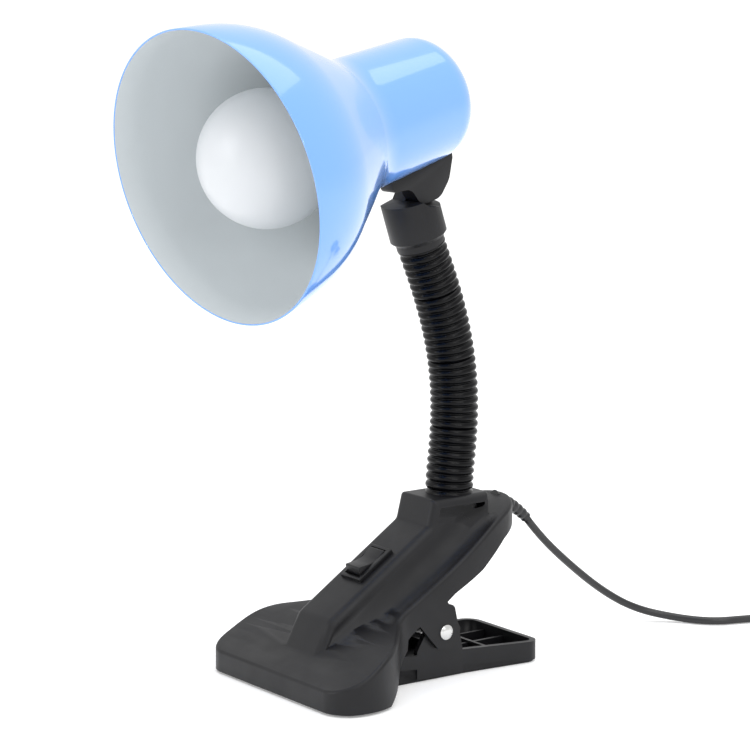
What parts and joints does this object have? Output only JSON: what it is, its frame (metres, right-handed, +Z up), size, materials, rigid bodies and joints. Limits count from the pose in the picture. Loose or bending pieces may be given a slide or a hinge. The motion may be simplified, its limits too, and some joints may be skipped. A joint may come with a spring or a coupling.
{
  "type": "clip on reading lamp",
  "caption": "Spring-clip reading lamp: jaw clip with switch housing, flexible neck, tilting bell shade with screw-in bulb, and cord.",
  "frame": {"origin": "on the flat sole of the lower clip half, on its middle plane, 12 mm ahead of the hinge line", "axes": "+Z up from the table, +X across the clip, -Y towards the jaw and +Y towards the handles"},
  "size_m": [0.1631, 0.4015, 0.2963],
  "materials": {
    "black_plastic": "satin moulded ABS",
    "switch_plastic": "fine matt nylon",
    "soft_pad": "matt",
    "shade_metal": "high-gloss light blue enamel outside, satin white inside",
    "hose_plastic": "satin ribbed hose over steel links",
    "bright_steel": "plain bright steel",
    "spring_steel": "oiled spring wire",
    "brass_contact": "plain brass",
    "opal_dome": "opal polycarbonate",
    "white_plastic": "smooth white housing",
    "cap_metal": "plated screw cap",
    "black_glass": "black cap insulator",
    "board_metal": "white-coated LED board",
    "driver_resin": "circuit board",
    "cord_pvc": "smooth black PVC cord"
  },
  "bodies": {
    "clip_lower": {"clip_lower_shell": "black_plastic", "lower_jaw_pad": "soft_pad", "torsion_spring": "spring_steel", "cord_tube": "cord_pvc", "cord_coil": "cord_pvc", "plug_body": "black_plastic", "plug_pins": "bright_steel"},
    "clip_upper": {"clip_upper_shell": "black_plastic", "upper_jaw_pad": "soft_pad", "hinge_pin": "bright_steel", "housing_cover": "black_plastic", "cover_screws": "bright_steel", "switch_body": "switch_plastic", "switch_terminals": "brass_contact", "strain_relief": "cord_pvc", "neck_foot": "hose_plastic", "neck_nut": "bright_steel"},
    "rocker": {"switch_rocker": "switch_plastic"},
    "link_1": {"neck_link_1": "hose_plastic"},
    "link_2": {"neck_link_2": "hose_plastic"},
    "link_3": {"neck_link_3": "hose_plastic"},
    "link_4": {"neck_link_4": "hose_plastic"},
    "link_5": {"neck_link_5": "hose_plastic"},
    "link_6": {"neck_link_6": "hose_plastic"},
    "link_7": {"neck_link_7": "hose_plastic"},
    "collar": {"collar": "black_plastic"},
    "head": {"shade": "shade_metal", "knuckle_cheek": "black_plastic", "knuckle_nut": "bright_steel", "knuckle_bolt": "bright_steel", "cheek_screws": "bright_steel", "lampholder_body": "black_plastic", "lampholder_sleeve": "brass_contact", "lampholder_contact": "brass_contact", "lampholder_terminals": "brass_contact"},
    "bulb": {"bulb_dome": "opal_dome", "bulb_housing": "white_plastic", "bulb_cap": "cap_metal", "bulb_insulator": "black_glass", "bulb_contact": "cap_metal", "bulb_board": "board_metal", "bulb_driver": "driver_resin"}
  },
  "joints": [
    {"name": "clip_hinge", "type": "hinge", "parent": "clip_lower", "child": "clip_upper", "pos_m": [0, 0.0121, 0.0217], "axis": [-1, 0, 0], "range_deg": [0, 28], "stiffness_Nm_per_rad": 1.6, "springref_deg": -59.99, "deforming": ["torsion_spring", "cord_tube"]},
    {"name": "rocker_press", "type": "hinge", "parent": "clip_upper", "child": "rocker", "pos_m": [0, -0.01199, 0.05036], "axis": [1, 0, 0], "range_deg": [0, 20]},
    {"name": "neck_bend_1", "type": "hinge", "parent": "clip_upper", "child": "link_1", "pos_m": [0, 0.0333, 0.085], "axis": [-1, 0, 0], "range_deg": [-10, 15]},
    {"name": "neck_bend_2", "type": "hinge", "parent": "link_1", "child": "link_2", "pos_m": [0, 0.03525, 0.10088], "axis": [0, 0.9958, -0.0915], "range_deg": [-15, 15]},
    {"name": "neck_bend_3", "type": "hinge", "parent": "link_2", "child": "link_3", "pos_m": [0, 0.03623, 0.11685], "axis": [-1, 0, 0], "range_deg": [-10, 15]},
    {"name": "neck_bend_4", "type": "hinge", "parent": "link_3", "child": "link_4", "pos_m": [0, 0.03539, 0.13283], "axis": [0, 0.9941, 0.1089], "range_deg": [-15, 15]},
    {"name": "neck_bend_5", "type": "hinge", "parent": "link_4", "child": "link_5", "pos_m": [0, 0.03275, 0.14861], "axis": [-1, 0, 0], "range_deg": [-10, 15]},
    {"name": "neck_bend_6", "type": "hinge", "parent": "link_5", "child": "link_6", "pos_m": [0, 0.02847, 0.16403], "axis": [0, 0.9524, 0.3049], "range_deg": [-15, 15]},
    {"name": "neck_bend_7", "type": "hinge", "parent": "link_6", "child": "link_7", "pos_m": [0, 0.023, 0.17906], "axis": [-1, 0, 0], "range_deg": [-10, 15]},
    {"name": "neck_bend_8", "type": "hinge", "parent": "link_7", "child": "collar", "pos_m": [0, 0.01675, 0.19379], "axis": [0, 0.9367, 0.3502], "range_deg": [-15, 15]},
    {"name": "head_tilt", "type": "hinge", "parent": "collar", "child": "head", "pos_m": [0, 0.01423, 0.21968], "axis": [0.9921, 0.1253, 0], "range_deg": [-40, 20]},
    {"name": "bulb_unscrew", "type": "slide", "parent": "head", "child": "bulb", "axis": [0.1224, -0.969, -0.2147], "range_m": [0, 0.1]}
  ]
}
